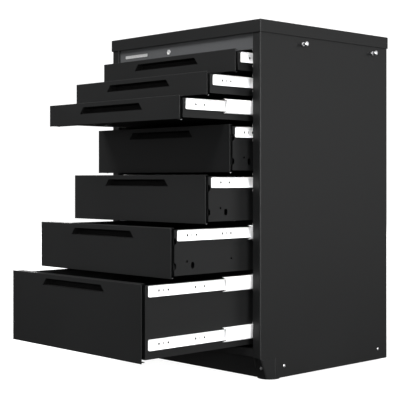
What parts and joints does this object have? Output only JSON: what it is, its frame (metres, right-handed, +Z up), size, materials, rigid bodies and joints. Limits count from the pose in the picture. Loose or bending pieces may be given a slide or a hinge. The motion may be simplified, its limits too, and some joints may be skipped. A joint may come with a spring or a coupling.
{
  "type": "workshop drawer cabinet",
  "caption": "Tall folded-steel workshop drawer cabinet on levelling feet, with drawers of graded depth pulled out on two-stage ball-bearing slides and recessed handle pockets.",
  "frame": {"origin": "middle of the underside of the base pan, 7 mm above the floor that the feet stand on", "axes": "+X to the viewer's right when facing the drawer fronts, +Y to the back, +Z up; the drawers open towards -Y"},
  "size_m": [0.683, 0.966, 0.997],
  "materials": {
    "carcass_steel": "satin black powder coat",
    "fascia_steel": "satin dark grey",
    "drawer_steel": "satin black powder coat",
    "slide_steel": "bright zinc",
    "grip_plastic": "matte black",
    "foot_plastic": "satin black",
    "zinc_hardware": "bright zinc",
    "badge_metal": "satin"
  },
  "bodies": {
    "cabinet": {"side_panel_left": "carcass_steel", "side_panel_right": "carcass_steel", "back_panel": "carcass_steel", "base_pan": "carcass_steel", "front_foot_bar": "carcass_steel", "rear_foot_bar": "carcass_steel", "top_cover": "carcass_steel", "fascia_panel": "fascia_steel", "fascia_badge": "badge_metal", "front_sill": "carcass_steel", "kick_plate": "carcass_steel", "corner_gussets": "carcass_steel", "upright_posts_left": "carcass_steel", "upright_posts_right": "carcass_steel", "rear_cross_rail": "carcass_steel", "levelling_feet": "foot_plastic", "accessory_pegs": "zinc_hardware", "panel_screws": "zinc_hardware", "drawer_1_outer_rails": "slide_steel", "drawer_2_outer_rails": "slide_steel", "drawer_3_outer_rails": "slide_steel", "drawer_4_outer_rails": "slide_steel", "drawer_5_outer_rails": "slide_steel", "drawer_6_outer_rails": "slide_steel", "drawer_7_outer_rails": "slide_steel"},
    "middle_1": {"drawer_1_middle_rails": "slide_steel"},
    "drawer_1": {"drawer_1_front": "drawer_steel", "drawer_1_box": "drawer_steel", "drawer_1_grip": "grip_plastic", "drawer_1_inner_rails": "slide_steel"},
    "middle_2": {"drawer_2_middle_rails": "slide_steel"},
    "drawer_2": {"drawer_2_front": "drawer_steel", "drawer_2_box": "drawer_steel", "drawer_2_grip": "grip_plastic", "drawer_2_inner_rails": "slide_steel"},
    "middle_3": {"drawer_3_middle_rails": "slide_steel"},
    "drawer_3": {"drawer_3_front": "drawer_steel", "drawer_3_box": "drawer_steel", "drawer_3_grip": "grip_plastic", "drawer_3_inner_rails": "slide_steel"},
    "middle_4": {"drawer_4_middle_rails": "slide_steel"},
    "drawer_4": {"drawer_4_front": "drawer_steel", "drawer_4_box": "drawer_steel", "drawer_4_grip": "grip_plastic", "drawer_4_inner_rails": "slide_steel"},
    "middle_5": {"drawer_5_middle_rails": "slide_steel"},
    "drawer_5": {"drawer_5_front": "drawer_steel", "drawer_5_box": "drawer_steel", "drawer_5_grip": "grip_plastic", "drawer_5_inner_rails": "slide_steel"},
    "middle_6": {"drawer_6_middle_rails": "slide_steel"},
    "drawer_6": {"drawer_6_front": "drawer_steel", "drawer_6_box": "drawer_steel", "drawer_6_grip": "grip_plastic", "drawer_6_inner_rails": "slide_steel"},
    "middle_7": {"drawer_7_middle_rails": "slide_steel"},
    "drawer_7": {"drawer_7_front": "drawer_steel", "drawer_7_box": "drawer_steel", "drawer_7_grip": "grip_plastic", "drawer_7_inner_rails": "slide_steel"}
  },
  "joints": [
    {"name": "middle_1_slide", "type": "slide", "parent": "cabinet", "child": "middle_1", "axis": [0, -1, 0], "range_m": [0, 0.22]},
    {"name": "drawer_1_slide", "type": "slide", "parent": "middle_1", "child": "drawer_1", "axis": [0, -1, 0], "range_m": [-0.062, 0.218]},
    {"name": "middle_2_slide", "type": "slide", "parent": "cabinet", "child": "middle_2", "axis": [0, -1, 0], "range_m": [0, 0.22]},
    {"name": "drawer_2_slide", "type": "slide", "parent": "middle_2", "child": "drawer_2", "axis": [0, -1, 0], "range_m": [-0.168, 0.112]},
    {"name": "middle_3_slide", "type": "slide", "parent": "cabinet", "child": "middle_3", "axis": [0, -1, 0], "range_m": [-0.114, 0.106]},
    {"name": "drawer_3_slide", "type": "slide", "parent": "middle_3", "child": "drawer_3", "axis": [0, -1, 0], "range_m": [-0.152, 0.128]},
    {"name": "middle_4_slide", "type": "slide", "parent": "cabinet", "child": "middle_4", "axis": [0, -1, 0], "range_m": [0, 0.22]},
    {"name": "drawer_4_slide", "type": "slide", "parent": "middle_4", "child": "drawer_4", "axis": [0, -1, 0], "range_m": [-0.083, 0.197]},
    {"name": "middle_5_slide", "type": "slide", "parent": "cabinet", "child": "middle_5", "axis": [0, -1, 0], "range_m": [0, 0.22]},
    {"name": "drawer_5_slide", "type": "slide", "parent": "middle_5", "child": "drawer_5", "axis": [0, -1, 0], "range_m": [-0.174, 0.106]},
    {"name": "middle_6_slide", "type": "slide", "parent": "cabinet", "child": "middle_6", "axis": [0, -1, 0], "range_m": [-0.02, 0.2]},
    {"name": "drawer_6_slide", "type": "slide", "parent": "middle_6", "child": "drawer_6", "axis": [0, -1, 0], "range_m": [-0.276, 0.004]},
    {"name": "middle_7_slide", "type": "slide", "parent": "cabinet", "child": "middle_7", "axis": [0, -1, 0], "range_m": [-0.117, 0.103]},
    {"name": "drawer_7_slide", "type": "slide", "parent": "middle_7", "child": "drawer_7", "axis": [0, -1, 0], "range_m": [-0.278, 0.002]}
  ]
}
